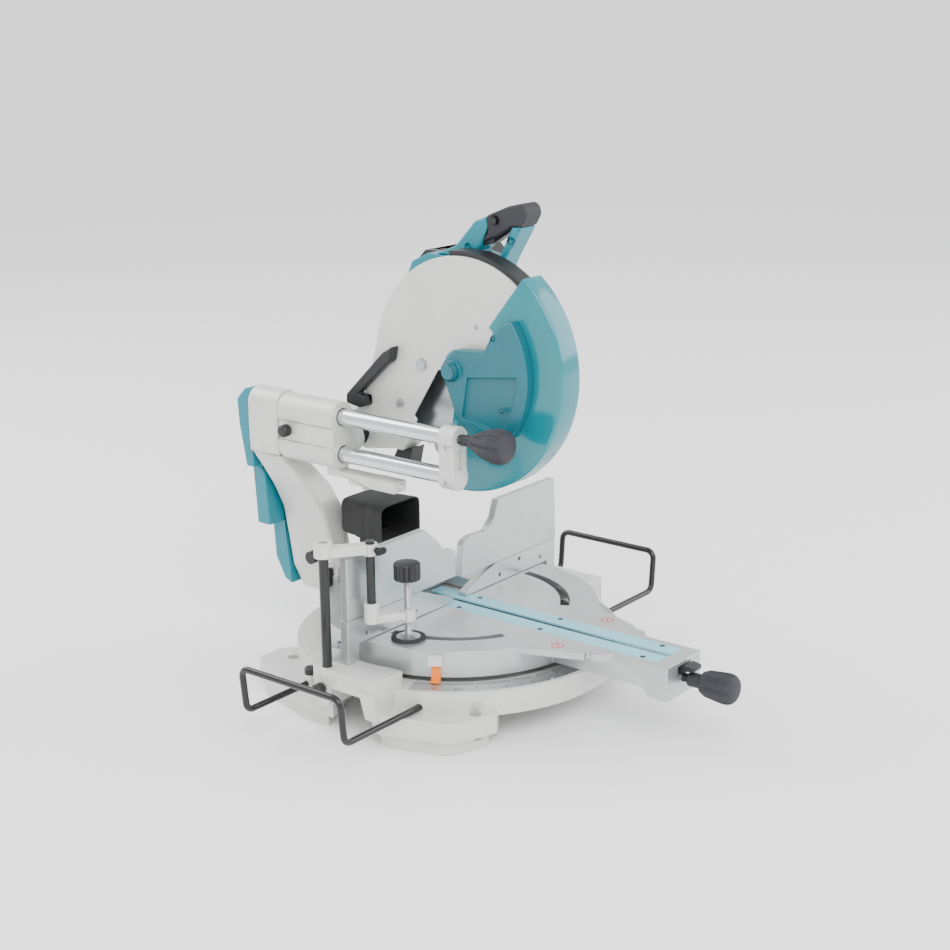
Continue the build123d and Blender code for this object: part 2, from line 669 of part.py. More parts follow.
with BuildPart() as chop_shaft:
    rod(along_x(-61.5, chop_y, chop_z), chop_shaft_radius - 0.01, 106)
    rod(along_x(44.2, chop_y, chop_z), 13, 5)
finish(chop_shaft, "chop_shaft")

with BuildPart() as return_spring:
    for turn in range(4):
        with Locations(Location((-44.6 + turn * 4.2, chop_y, chop_z), (0, 90, 0))):
            Torus(14, 1.9)
finish(return_spring, "return_spring")

with BuildPart() as slide_lock_knob:
    rod(along_x(-109.6, 236, 373), 3.0, 12)
    turned(
        Plane(origin=(-107.0, 236, 373), x_dir=(0, 1, 0), z_dir=(-1, 0, 0)),
        [(0, 7), (3, 9.5), (13, 9.5), (16, 6.5)],
    )
finish(slide_lock_knob, "slide_lock_knob")

with BuildPart() as stopper_pin:
    rod(along_x(31, 218, 352), 4.0, 20)
    rod(along_x(51, 218, 352), 9, 9)
finish(stopper_pin, "stopper_pin")

with BuildPart() as depth_stop:
    block((-96, -72), (86, 128), (304, 321))
    block((-96, -72), (127, 170), (312, 321))
    block((-96, -72), (148, 170), (320, 330))
    block((-98, -70), (38, 87), (305, 321))
    rod(Plane.XY.offset(298), 6, 8, (-84, 104))
    rod(along_y(38.5, -84, 313), 5, 7)
    rod(along_y(171, rail_x, 373.2 - 27), 24, 24, mode=Mode.SUBTRACT)
finish(depth_stop, "depth_stop")

# ---- head: blade case and what is fixed to it -------------------------------------------------------------
case_outline = (
    [polar(case_radius, turn) for turn in range(43, 164, 3)]
    + [(148, 440), (176, 392), (183, 372), (176, 346), (158, 339)]
    + [(98, 348), (83, 347), (68, 367), (54, 398), (59, 404), (12, 478)]
    + [polar(16, turn) for turn in (250, 290, 340)]
    + [polar(97, 38), polar(134, 43)]
)

with BuildPart() as blade_case:
    prism(along_x(case_left), case_outline, case_right - case_left)
    rod(along_x(case_left + 3, blade_y, blade_z), case_radius - 3.5, case_right - case_left - 6, mode=Mode.SUBTRACT)
    rod(along_x(case_left - 4.2, blade_y, blade_z), 16, 5)
    rod(along_x(case_right - 2, blade_y, blade_z), 60, 2 + gear_left - case_right)
    rod(along_x(case_left - 6, blade_y, blade_z), 5, 14, mode=Mode.SUBTRACT)
    rod(along_x(case_right - 6, blade_y, blade_z), 14.0, 14, mode=Mode.SUBTRACT)
    rod(along_x(case_left - 1, chop_y, chop_z), chop_shaft_radius + running_gap, 60, mode=Mode.SUBTRACT)
    for y, z in ((42, 482), (-57, 547), (84, 420)):
        rod(along_x(case_left - 2, y, z), 3.0, 6, mode=Mode.SUBTRACT)
    # the head's ends at its pivot run between the two ears
    rod(along_x(case_right - 0.1, chop_y, chop_z), 22, 14)
    rod(along_x(case_right - 1, chop_y, chop_z), chop_shaft_radius + running_gap, 20, mode=Mode.SUBTRACT)
finish(blade_case, "blade_case")

with BuildPart() as case_screws:
    for y, z, head, tall in ((42, 482, 8.5, 3.4), (84, 420, 6, 3.4)):
        rod(along_x(case_left - 1.9 if y < 80 else case_left, y, z), 2.95, 3.5)
        rod(along_x(case_left - tall - 1, y, z), head, tall + (0.18 if y < 80 else 1))
    rod(along_x(case_left - 0.8, -57, 547), 2.95, 2)
finish(case_screws, "case_screws")

with BuildPart() as case_trim:
    prism(along_x(case_left + 4), sector(case_radius + 7, case_radius + 0.2, 46, 98, 4), 30)
    prism(along_x(-20), [(68, 353), (74, 347.6), (97, 348), (106, 331), (92, 312), (76, 318)], 28)
    prism(along_x(-26), case_outline, 40, mode=Mode.SUBTRACT)
finish(case_trim, "case_trim")

with BuildPart() as carry_handle:
    handle_path = [
        (84, 506), (104, 494), (176, 424), (176, 410), (150, 406), (138, 410), (139, 424), (150, 428),
        (104, 470), (88, 484),
    ]
    prism(along_x(-44), handle_path, 14)
    prism(along_x(-31), [(84, 506), (104, 494), (104, 474), (88, 484)], 5.9)
    prism(along_x(-31), [(150, 406), (138, 410), (139, 422), (150, 422)], 5.9)
finish(carry_handle, "carry_handle")

# ---- gearbox, motor and belt drive ---------------------------------------------------------------------------
cover_right = 50.0
motor_end = 172.0
motor_radius = 52.0
pulley_big = 34.0
pulley_small = 14.0
belt_thick = 3.0

housing_outline = [
    (-78, 452), (-78, 520), (-56, 566), (-42, 612), (-8, 634), (62, 636), (92, 622), (104, 596),
    (100, 556), (60, 490), (10, 446), (-40, 436), (-66, 440),
]
housing_inner = [
    (-71, 456), (-71, 518), (-50, 562), (-36, 607), (-6, 627), (60, 629), (86, 615), (97, 593),
    (93, 559), (56, 498), (8, 453), (-40, 443), (-63, 446),
]

with BuildPart() as gear_housing:
    prism(along_x(gear_left), housing_outline, gear_right - gear_left)
    prism(along_x(gear_left + 4), housing_inner, 40, mode=Mode.SUBTRACT)
    rod(along_x(gear_left - 1, blade_y, blade_z), 14.0, 8, mode=Mode.SUBTRACT)
    rod(along_x(gear_left - 1, motor_y, motor_z), 8.0, 8, mode=Mode.SUBTRACT)
finish(gear_housing, "gear_housing")

octagon = [
    (motor_y + motor_radius * y, motor_z + motor_radius * z)
    for y, z in (
        (1, -0.42), (1, 0.42), (0.42, 1), (-0.42, 1), (-1, 0.42), (-1, -0.42), (-0.42, -1), (0.42, -1),
    )
]

with BuildPart() as motor_housing:
    prism(along_x(cover_right), octagon, motor_end + 12 - cover_right)
    chamfer(motor_housing.faces().sort_by(Axis.X)[-1].edges(), 8)
    prism(along_x(gear_right), housing_outline, cover_right - gear_right)
    rod(along_x(cover_right, motor_y, motor_z), 47.0, motor_end - cover_right - 6, mode=Mode.SUBTRACT)
    rod(along_x(gear_right - 1, motor_y, motor_z), 13.0, 8, mode=Mode.SUBTRACT)
    rod(along_x(motor_end - 6, motor_y, motor_z), 13.0, 6, mode=Mode.SUBTRACT)
    for x in range(66, 160, 12):
        block((x, x + 5), (motor_y - 14, motor_y + 14), (motor_z + 46, motor_z + 60), mode=Mode.SUBTRACT)
    for side in (-1, 1):
        # the brush caps
        cap_face = Plane(
            origin=(150, motor_y + side * motor_radius, motor_z), x_dir=(1, 0, 0), z_dir=(0, side, 0)
        )
        turned(cap_face, [(0, 9), (3, 9), (4, 8)])
    # the inlet where a cord would enter
    gland_face = Plane(
        origin=(motor_end - 46, motor_y + motor_radius, motor_z - 8), x_dir=(1, 0, 0), z_dir=(0, 1, 0)
    )
    turned(gland_face, [(0, 8), (4, 8), (5, 6), (16, 5)])
    rod(gland_face.offset(4), 3.6, 14, mode=Mode.SUBTRACT)
finish(motor_housing, "motor_housing")

with BuildPart() as armature:
    rod(along_x(18, motor_y, motor_z), 6.0, motor_end - 19)
    rod(along_x(25, motor_y, motor_z), pulley_small, 14)
    rod(along_x(86, motor_y, motor_z), 29.0, 44)
    rod(along_x(138, motor_y, motor_z), 14.0, 18)
    rod(along_x(58, motor_y, motor_z), 42.0, 3)
    for turn in range(0, 360, 30):
        with Locations(Location((66, motor_y, motor_z), (turn, 0, 0))):
            with Locations((0, 0, 29)):
                Box(13, 2, 24)
finish(armature, "armature")

with BuildPart() as drive_belt:
    for radius, mode in ((belt_thick + 0.4, Mode.ADD), (0.4, Mode.SUBTRACT)):
        with BuildSketch(along_x(26), mode=Mode.PRIVATE) as loop_area:
            with Locations((blade_y, blade_z)):
                Circle(pulley_big + radius)
            with Locations((motor_y, motor_z)):
                Circle(pulley_small + radius)
            make_hull()
        extrude(loop_area.sketch, amount=12, mode=mode)
finish(drive_belt, "drive_belt")

with BuildPart() as head_bearings:
    ring(along_x(8.3, blade_y, blade_z), 13.98, 10.0 + running_gap, 7)
    ring(along_x(gear_right + 0.1, motor_y, motor_z), 12.98, 6.0 + running_gap, 3.8)
    ring(along_x(motor_end - 6, motor_y, motor_z), 12.98, 6.0 + running_gap, 5.9)
finish(head_bearings, "head_bearings")

# ---- blade and what turns with it ------------------------------------------------------------------------------
blade_half = 0.95
teeth = 40
with BuildPart() as saw_blade:
    tooth_points = []
    for tooth in range(teeth):
        start = 360 / teeth * tooth
        tooth_points.append(polar(blade_radius, start))
        tooth_points.append(polar(blade_radius - 1.2, start + 3.4))
        tooth_points.append(polar(blade_radius - 8, start + 5.6))
    prism(along_x(-blade_half), tooth_points, 2 * blade_half)
    rod(along_x(-2, blade_y, blade_z), blade_bore, 4, mode=Mode.SUBTRACT)
finish(saw_blade, "saw_blade")

with BuildPart() as blade_clamp:
    rod(along_x(-blade_half - 6, blade_y, blade_z), 24, 6)
    with BuildSketch(along_x(-blade_half - 13, blade_y, blade_z)):
        RegularPolygon(9, 6)
    extrude(amount=7)
finish(blade_clamp, "blade_clamp")

with BuildPart() as blade_spindle:
    turned(
        along_x(-blade_half, blade_y, blade_z),
        [
            (0, blade_bore - 0.02), (1.9, blade_bore - 0.02), (1.9, 24), (8.4, 24), (8.4, 10), (25, 10),
            (25, pulley_big), (40, pulley_big), (40, 10), (42, 10),
        ],
    )
finish(blade_spindle, "blade_spindle")

# ---- lower guard and centre cover --------------------------------------------------------------------------------
guard_low = -103.0
guard_high = 51.0
wall = 2.2
with BuildPart() as lower_guard:
    prism(along_x(guard_left), sector(guard_radius, 84, guard_low, guard_high, 4), wall)
    prism(along_x(guard_left), sector(86, 20, -100, -20), wall)
    rod(along_x(guard_left, blade_y, blade_z), 28, wall)
    rim = sector(guard_radius, guard_radius - 2.6, guard_low, guard_high, 4)
    prism(along_x(guard_left), rim, guard_right - guard_left)
    prism(along_x(guard_right - 1.8), sector(guard_radius, 118, guard_low, guard_high, 4), 1.8)
    rod(along_x(guard_left - 1, blade_y, blade_z), 16 + running_gap, 10, mode=Mode.SUBTRACT)
finish(lower_guard, "lower_guard")

cover_outline = (
    [(-36, 516), (-86, 519), (-101, 541), (-116, 559)]
    + [polar(131, turn) for turn in range(38, -46, -6)]
    + [(-99, 397), (-34, 393), (-38, 416), (-17, 467)]
    + [polar(20, turn) for turn in (200, 170, 140, 110)]
)
cover_recess = (
    [(-56, 478), polar(112, 2)] + [polar(112, turn) for turn in range(-4, -50, -6)] + [(-62, 418), (-46, 420)]
)
with BuildPart() as centre_cover:
    prism(along_x(guard_left - 16.4), cover_outline, 16.4)
    prism(along_x(guard_left - 17), cover_recess, 6, mode=Mode.SUBTRACT)
    rod(along_x(guard_left - 26, blade_y, blade_z), 14, 12)
    rod(along_x(guard_left - 1.2, blade_y, blade_z), 16 + running_gap, 2, mode=Mode.SUBTRACT)
    rod(along_x(guard_left - 29, blade_y, blade_z), 11, 4)
    for y, z in ((-104, 540), (-118, 440), (-48, 404)):
        rod(along_x(guard_left - 17.6, y, z), 3.4, 2)
finish(centre_cover, "centre_cover")

# ---- handle, grip, trigger and switch ----------------------------------------------------------------------------
handle_outer = [
    (50, 635.657), (14, 650), (-22, 688), (-36, 693), (-51, 700), (-81.5, 712), (-103, 717), (-109.5, 713),
    (-113.5, 704), (-112, 697), (-97.5, 673), (-74, 634), (-69.5, 626), (-48, 616), (-42, 612), (-8, 634),
]
handle_hole = [(-24, 644), (-40.5, 660), (-62, 668), (-87.5, 684), (-68, 645), (-54, 638)]
grip_outline = [
    (-42, 696), (-51, 700), (-81.5, 712), (-103, 717), (-109.5, 713), (-113.5, 704), (-112, 697), (-104.5, 684),
    (-87.5, 684), (-62, 668), (-40.5, 660), (-34, 652), (-42, 672), (-45, 682),
]
trigger_pocket = [(-46.5, 655), (-46.5, 680), (-89, 697), (-89, 676)]
trigger_outline = [(-48, 657), (-80, 676), (-87, 683.5), (-87, 690), (-82.5, 691), (-51, 671)]
handle_middle = (handle_left + handle_right) / 2


with BuildPart() as handle_shell:
    prism(along_x(handle_left), handle_outer, handle_right - handle_left)
    prism(along_x(handle_left - 1), handle_hole, handle_right - handle_left + 2, mode=Mode.SUBTRACT)
    prism(along_x(handle_left - 1), grip_outline, handle_right - handle_left + 2, mode=Mode.SUBTRACT)
    for y, z in ((-10, 650), (-87.5, 664)):
        rod(along_x(handle_left - 0.01, y, z), 4, 2, mode=Mode.SUBTRACT)
finish(handle_shell, "handle_shell")

with BuildPart() as soft_grip:
    prism(along_x(handle_left), grip_outline, handle_right - handle_left)
    prism(along_x(handle_middle - 10), trigger_pocket, 20, mode=Mode.SUBTRACT)
    rod(along_x(handle_left - 1, -59, 691), 5 + running_gap, 12, mode=Mode.SUBTRACT)
    rod(along_x(handle_middle - 13, -84.5, 686.5), 2.0 + running_gap, 26, mode=Mode.SUBTRACT)
finish(soft_grip, "soft_grip")

with BuildPart() as trigger:
    prism(along_x(handle_middle - 9.5), trigger_outline, 19)
    rod(along_x(handle_middle - 12.9, -84.5, 686.5), 2.0, 25.8)
finish(trigger, "trigger")

with BuildPart() as lock_off_button:
    rod(along_x(handle_left - 4, -59, 691), 5.0, 11)
finish(lock_off_button, "lock_off_button")
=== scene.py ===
import json
import math
import bmesh
import bpy
import numpy as np
from mathutils import Matrix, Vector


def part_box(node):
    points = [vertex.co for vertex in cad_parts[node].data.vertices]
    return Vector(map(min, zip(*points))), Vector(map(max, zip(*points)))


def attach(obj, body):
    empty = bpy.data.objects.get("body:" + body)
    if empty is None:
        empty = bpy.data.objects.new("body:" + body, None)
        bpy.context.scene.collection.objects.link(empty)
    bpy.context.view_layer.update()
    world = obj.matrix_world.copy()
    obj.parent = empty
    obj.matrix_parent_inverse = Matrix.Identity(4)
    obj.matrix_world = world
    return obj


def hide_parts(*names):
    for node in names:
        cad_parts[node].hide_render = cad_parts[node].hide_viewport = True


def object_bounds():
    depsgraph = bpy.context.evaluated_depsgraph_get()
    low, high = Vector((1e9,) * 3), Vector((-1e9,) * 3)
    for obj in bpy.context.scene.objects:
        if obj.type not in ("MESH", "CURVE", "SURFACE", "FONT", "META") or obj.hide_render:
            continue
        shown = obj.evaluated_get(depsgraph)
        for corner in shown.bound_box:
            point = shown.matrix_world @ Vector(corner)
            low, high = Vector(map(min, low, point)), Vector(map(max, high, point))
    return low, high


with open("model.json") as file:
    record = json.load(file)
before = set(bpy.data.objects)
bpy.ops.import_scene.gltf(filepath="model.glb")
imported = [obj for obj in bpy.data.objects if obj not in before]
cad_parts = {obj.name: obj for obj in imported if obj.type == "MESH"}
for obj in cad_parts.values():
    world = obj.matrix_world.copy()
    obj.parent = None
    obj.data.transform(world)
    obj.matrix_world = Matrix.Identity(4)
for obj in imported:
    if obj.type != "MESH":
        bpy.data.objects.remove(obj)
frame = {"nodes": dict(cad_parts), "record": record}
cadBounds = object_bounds()
nodes = frame["nodes"]
bodyOf = {n: body for body, members in frame["record"]["behaviour"]["bodies"].items() for n in members}
mm = 0.001
print("frame loaded:", len(nodes), "nodes")


# materials
def linear(colour):
    # sRGB hex to linear red, green, blue and alpha
    parts = [int(colour[i:i + 2], 16) / 255 for i in (1, 3, 5)]
    return [c / 12.92 if c <= 0.04045 else ((c + 0.055) / 1.055) ** 2.4 for c in parts] + [1.0]


def addNode(tree, kind, settings=None, values=None, links=None):
    # one node: its own settings, the values on its sockets, and what its sockets read
    node = tree.nodes.new(kind)
    for key, value in (settings or {}).items():
        setattr(node, key, value)
    for key, value in (values or {}).items():
        node.inputs[key].default_value = value
    for key, (source, output) in (links or {}).items():
        tree.links.new(source.outputs[output], node.inputs[key])
    return node


def newMaterial(name, values):
    material = bpy.data.materials.new(name)
    material.use_nodes = True
    tree = material.node_tree
    tree.nodes.clear()
    shader = addNode(tree, "ShaderNodeBsdfPrincipled", values=values)
    addNode(tree, "ShaderNodeOutputMaterial", links={"Surface": (shader, "BSDF")})
    return material, tree, shader


def grained(name, colour, darker, grainMm, bumpMm, stretch=(1, 1, 1), patchMm=40, **values):
    # a fine grain for the bump, and slow patches that shift the colour and the gloss a little
    roughness = values["Roughness"]
    material, tree, shader = newMaterial(name, values)
    place = addNode(tree, "ShaderNodeTexCoord")
    scaled = addNode(
        tree, "ShaderNodeMapping", values={"Scale": stretch}, links={"Vector": (place, "Object")},
    )
    grain = addNode(
        tree, "ShaderNodeTexNoise",
        values={"Scale": 1 / (grainMm * mm), "Detail": 3.0, "Roughness": 0.6},
        links={"Vector": (scaled, "Vector")},
    )
    patch = addNode(
        tree, "ShaderNodeTexNoise", values={"Scale": 1 / (patchMm * mm), "Detail": 4.0},
        links={"Vector": (place, "Object")},
    )
    # sockets 6 and 7 of the mix are its two colours
    tint = addNode(
        tree, "ShaderNodeMix", settings={"data_type": "RGBA"},
        values={6: linear(darker), 7: linear(colour)}, links={"Factor": (patch, "Fac")},
    )
    tree.links.new(tint.outputs[2], shader.inputs["Base Color"])
    gloss = addNode(
        tree, "ShaderNodeMapRange", values={"To Min": roughness * 0.82, "To Max": roughness * 1.18},
        links={"Value": (patch, "Fac")},
    )
    tree.links.new(gloss.outputs["Result"], shader.inputs["Roughness"])
    bump = addNode(
        tree, "ShaderNodeBump", values={"Strength": 0.5, "Distance": bumpMm * mm},
        links={"Height": (grain, "Fac")},
    )
    tree.links.new(bump.outputs["Normal"], shader.inputs["Normal"])
    return material


# satin paint on a die casting: an even light grey with a faint orange peel
castPaint = grained(
    "satinPaintOnCasting", "#D3D5D0", "#C7C9C5", 1.6, 0.05, Roughness=0.36, Metallic=0.15)
# milled aluminium: fine straight cutter marks across the table
milledAluminium = grained(
    "milledAluminium", "#C3C5C5", "#B2B5B6", 1.2, 0.03, stretch=(0.05, 1, 1), Roughness=0.34,
    Metallic=0.75)
# moulded ABS: the housing's teal, a soft sheen and a fine spark-eroded grain
tealAbs = grained("mouldedAbsTeal", "#077F8F", "#067281", 0.7, 0.03, Roughness=0.34)
# the guard's centre is moulded in a deeper teal
deepTealAbs = grained("mouldedAbsDeepTeal", "#066573", "#055B68", 0.7, 0.03, Roughness=0.36)
# clear polycarbonate dyed teal: light comes through the guard
guardPolycarbonate = grained(
    "tintedPolycarbonate", "#12A3B0", "#0F98A5", 6.0, 0.01, Roughness=0.14,
    **{"Transmission Weight": 0.5, "IOR": 1.58})
# glass-filled nylon: near black and slightly chalky
blackNylon = grained("mouldedNylonBlack", "#1C1C1F", "#151517", 0.7, 0.04, Roughness=0.46)
# thermoplastic rubber of the grips: dark grey, matt
gripRubber = grained("overmouldedRubber", "#2A2A30", "#232328", 1.0, 0.06, Roughness=0.68)
# black rubber of the dust hood: matt with a dusty bloom
hoodRubber = grained("mouldedRubberBlack", "#1E1E20", "#2A2A2B", 1.4, 0.05, Roughness=0.78)
# ground and hard-chromed tube of the rails
groundSteel = grained(
    "groundChromedSteel", "#DCDEE0", "#CDD0D3", 0.9, 0.004, stretch=(1, 0.08, 1), Roughness=0.16,
    Metallic=1.0)
# zinc-plated steel of the wires and bolts
zincSteel = grained("zincPlatedSteel", "#B9BCC0", "#A6A9AE", 1.5, 0.01, Roughness=0.3, Metallic=1.0)
# gloss black enamel on the bent wires and the clamp's post
enamelSteel = grained("blackEnamelOnSteel", "#151517", "#101011", 2.0, 0.01, Roughness=0.24)
# black-oxide steel of the small screws
oxideSteel = grained("blackOxideSteel", "#3A3B3D", "#2E2F31", 0.8, 0.01, Roughness=0.4, Metallic=1.0)
# blade body: rolled steel ground in circles
bladeSteel = grained("groundBladeSteel", "#B7B9BC", "#A3A6AA", 0.8, 0.006, Roughness=0.26, Metallic=1.0)
# sintered bronze and copper inside the machine
bronze = grained("sinteredBronze", "#A67C45", "#93693A", 0.8, 0.02, Roughness=0.45, Metallic=1.0)
# pale blue polypropylene of the kerf boards: light glows in it a little
kerfPlastic = grained(
    "mouldedPolypropyleneBlue", "#93D6E6", "#86CBDD", 1.0, 0.02, Roughness=0.4,
    **{"Transmission Weight": 0.12})
# orange acetal of the pointer
orangeAcetal = grained("mouldedAcetalOrange", "#FF8A1E", "#F27D12", 0.8, 0.02, Roughness=0.36)
# printed marks: black and red screen ink, smooth and thin
blackInk = grained("screenInkBlack", "#202124", "#1B1C1E", 0.5, 0.003, Roughness=0.5)
redInk = grained("screenInkRed", "#D2202C", "#C61B27", 0.5, 0.003, Roughness=0.45)
print("materials ready")


# helpers for the pieces
def settle(obj, body, material, slotName, *replaced):
    # one finished piece: its material, the body it moves with, and the nodes it stands for
    obj.data.materials.clear()
    obj.data.materials.append(material)
    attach(obj, body)
    if replaced:
        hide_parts(*replaced)
    return obj


def newObject(name, vertices, faces, smoothAngle=35):
    # a mesh from whole arrays, with its faces turned outwards
    mesh = bpy.data.meshes.new(name)
    mesh.from_pydata(vertices.tolist(), [], faces)
    work = bmesh.new()
    work.from_mesh(mesh)
    bmesh.ops.recalc_face_normals(work, faces=work.faces)
    work.to_mesh(mesh)
    work.free()
    mesh.shade_smooth()
    mesh.set_sharp_from_angle(angle=math.radians(smoothAngle))
    obj = bpy.data.objects.new(name, mesh)
    bpy.context.scene.collection.objects.link(obj)
    return obj


def tube(name, grid, smoothAngle=35):
    # grid[i, j] is ring i along the piece and point j round it: quads join the rings
    # and one face closes each end
    rows, columns = grid.shape[:2]
    index = np.arange(rows * columns).reshape(rows, columns)
    after = np.roll(index, -1, axis=1)
    quads = np.stack([index[:-1], after[:-1], after[1:], index[1:]], -1).reshape(-1, 4)
    faces = quads.tolist() + [index[0, ::-1].tolist(), index[-1].tolist()]
    return newObject(name, grid.reshape(-1, 3), faces, smoothAngle)


def softened(node, material, width, slotName, segments=2, corner=32):
    # a merged copy of the node with its sharp edges rounded to the given width in mm
    source = nodes[node].data
    work = bmesh.new()
    work.from_mesh(source)
    bmesh.ops.remove_doubles(work, verts=work.verts, dist=2e-6)
    bmesh.ops.dissolve_limit(work, angle_limit=math.radians(0.6), verts=work.verts, edges=work.edges)
    mesh = bpy.data.meshes.new(node + "Rounded")
    work.to_mesh(mesh)
    work.free()
    mesh.shade_smooth()
    mesh.set_sharp_from_angle(angle=math.radians(corner))
    obj = bpy.data.objects.new(node + "Rounded", mesh)
    bpy.context.scene.collection.objects.link(obj)
    bevel = obj.modifiers.new("edge", "BEVEL")
    bevel.width = width * mm
    bevel.segments = segments
    bevel.limit_method = "ANGLE"
    bevel.angle_limit = math.radians(corner)
    bevel.use_clamp_overlap = False
    bevel.harden_normals = True
    return settle(obj, bodyOf[node], material, slotName, node)


slots = {s["node"]: s["material_slot"] for s in frame["record"]["subparts"]}

# nodes whose shape is right as it is, with a finer material
plainNodes = {
    "mitre_scale": milledAluminium, "base_screws": zincSteel, "pivot_bolt": zincSteel,
    "work_holder_left": enamelSteel, "work_holder_right": enamelSteel, "vise_post": enamelSteel,
    "vise_rod": enamelSteel, "vise_pad": zincSteel, "kerf_screws": oxideSteel,
    "bevel_pivot_shaft": zincSteel, "slide_rails": groundSteel, "linear_bearings": bronze,
    "chop_shaft": zincSteel, "case_screws": zincSteel, "armature": bronze, "drive_belt": hoodRubber,
    "blade_spindle": zincSteel, "head_bearings": bronze, "saw_blade": bladeSteel,
    "blade_clamp": zincSteel,
    "lower_guard": guardPolycarbonate, "bevel_release_lever": blackNylon,
    "bevel_stop_knob": blackNylon, "lock_off_button": blackNylon, "return_spring": oxideSteel,
    "mitre_pointer": orangeAcetal, "mitre_lock_lever": blackNylon,
}
for node, material in plainNodes.items():
    nodes[node].data.materials.clear()
    nodes[node].data.materials.append(material)

# nodes that get rounded edges: material and radius in mm
roundedNodes = {
    "base_casting": (castPaint, 0.8), "lower_fence": (milledAluminium, 0.8),
    "turntable": (milledAluminium, 0.8),
    "upper_fence_left": (milledAluminium, 1.0), "upper_fence_right": (milledAluminium, 1.0),
    "vise_upper_arm": (castPaint, 1.2), "vise_lower_arm": (castPaint, 1.2),
    "vise_wing_screw": (oxideSteel, 0.6),
    "kerf_boards": (kerfPlastic, 0.3), "bevel_arm": (castPaint, 2.0), "rail_bracket": (castPaint, 1.5),
    "carriage": (castPaint, 2.0), "depth_stop": (castPaint, 1.0), "blade_case": (castPaint, 1.5),
    "case_trim": (blackNylon, 0.6), "carry_handle": (blackNylon, 3.0), "gear_housing": (tealAbs, 1.5),
    "motor_housing": (blackNylon, 1.5), "arm_covers": (tealAbs, 2.0), "dust_nozzle": (blackNylon, 1.0),
    "centre_cover": (deepTealAbs, 2.0), "handle_shell": (tealAbs, 3.5), "soft_grip": (gripRubber, 3.5),
    "trigger": (blackNylon, 1.2), "fence_clamp_left": (blackNylon, 0.8),
    "fence_clamp_right": (blackNylon, 0.8), "base_thumb_screws": (blackNylon, 0.8),
    "slide_lock_knob": (blackNylon, 0.8), "stopper_pin": (blackNylon, 0.8),
}
for node, (material, radius) in roundedNodes.items():
    softened(node, material, radius, slots[node])
print("rounded pieces ready:", len(roundedNodes))


# turned knobs and grips
def corner(name):
    # lowest and highest corner of a node in mm
    low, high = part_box(name)
    return np.array(low) / mm, np.array(high) / mm


def turnedGrid(start, along, profile, flutes=0, depth=0.0, fluted=(0, 0), columns=96, rows=70):
    # radius is the smoothed profile, less a cosine flute that fades in and out between two heights
    heights = np.array([p[0] for p in profile], float)
    radii = np.array([p[1] for p in profile], float)
    t = np.linspace(heights[0], heights[-1], rows)
    r = np.interp(t, heights, radii)
    r[1:-1] = 0.25 * r[:-2] + 0.5 * r[1:-1] + 0.25 * r[2:]
    turn = np.linspace(0, 2 * math.pi, columns, endpoint=False)
    fade = np.zeros_like(t)
    if flutes:
        fade = np.clip((t - fluted[0]) / 6, 0, 1) * np.clip((fluted[1] - t) / 4, 0, 1)
    cut = depth * fade[:, None] * np.clip(np.cos(flutes * turn)[None, :], 0, 1)
    radius = r[:, None] - cut
    along = np.array(along, float)
    side = np.cross(along, [0.0, 0.0, 1.0])
    if np.linalg.norm(side) < 0.5:
        side = np.array([1.0, 0.0, 0.0])
    other = np.cross(along, side)
    around = np.cos(turn)[:, None] * side + np.sin(turn)[:, None] * other
    grid = np.array(start) + t[:, None, None] * along + radius[..., None] * around[None]
    return grid * mm


mitreKnob = {
    "profile": [
        (0, 6), (16, 6), (16.5, 10), (36, 10), (38, 15), (46, 18.5), (72, 21.5), (80, 21.2), (86, 18.5),
        (89, 12),
    ],
    "flutes": 8, "depth": 2.6, "fluted": (42, 86),
}
low, high = corner("mitre_grip")
middle = (low + high) / 2
grid = turnedGrid((middle[0], high[1], middle[2]), (0, -1, 0), mitreKnob["profile"], mitreKnob["flutes"],
                  mitreKnob["depth"], mitreKnob["fluted"])
settle(tube("mitreGripMoulded", grid), "mitre_knob", gripRubber, "grip", "mitre_grip")

bevelKnob = {
    "profile": [(0, 8), (15, 8), (21, 11.5), (40, 20), (58, 24.3), (72, 24.2), (78, 21.5), (80, 16)],
    "flutes": 8, "depth": 3.0, "fluted": (24, 78), "rod": 5.0,
}
low, high = corner("bevel_lock_knob")
middle = (low + high) / 2
knobStart = low[1] + bevelKnob["profile"][-1][0]
grid = turnedGrid(
    (middle[0], knobStart, middle[2]), (0, -1, 0), bevelKnob["profile"], bevelKnob["flutes"],
    bevelKnob["depth"], bevelKnob["fluted"])
settle(tube("bevelKnobMoulded", grid), "bevel_knob", gripRubber, "grip", "bevel_lock_knob")
grid = turnedGrid(
    (middle[0], high[1], middle[2]), (0, -1, 0),
    [(0, bevelKnob["rod"]), (high[1] - knobStart + 1, bevelKnob["rod"])], columns=24, rows=3)
settle(tube("bevelKnobRod", grid), "bevel_knob", zincSteel, "grip")

viseKnob = {
    "profile": [(0, 14), (0.6, 18.2), (3, 19), (23, 19), (25.4, 17.5), (26, 13)],
    "flutes": 14, "depth": 1.9, "fluted": (-6, 30), "tall": 26, "rod": 5.0,
    "thread": 0.35, "pitch": 2.0,
}
low, high = corner("vise_screw")
middle = (low + high) / 2
grid = turnedGrid((middle[0], middle[1], high[2] - viseKnob["tall"]), (0, 0, 1), viseKnob["profile"],
                  viseKnob["flutes"], viseKnob["depth"], viseKnob["fluted"], columns=168, rows=40)
settle(tube("viseKnobMoulded", grid), "vise_clamp", blackNylon, "black_plastic", "vise_screw")
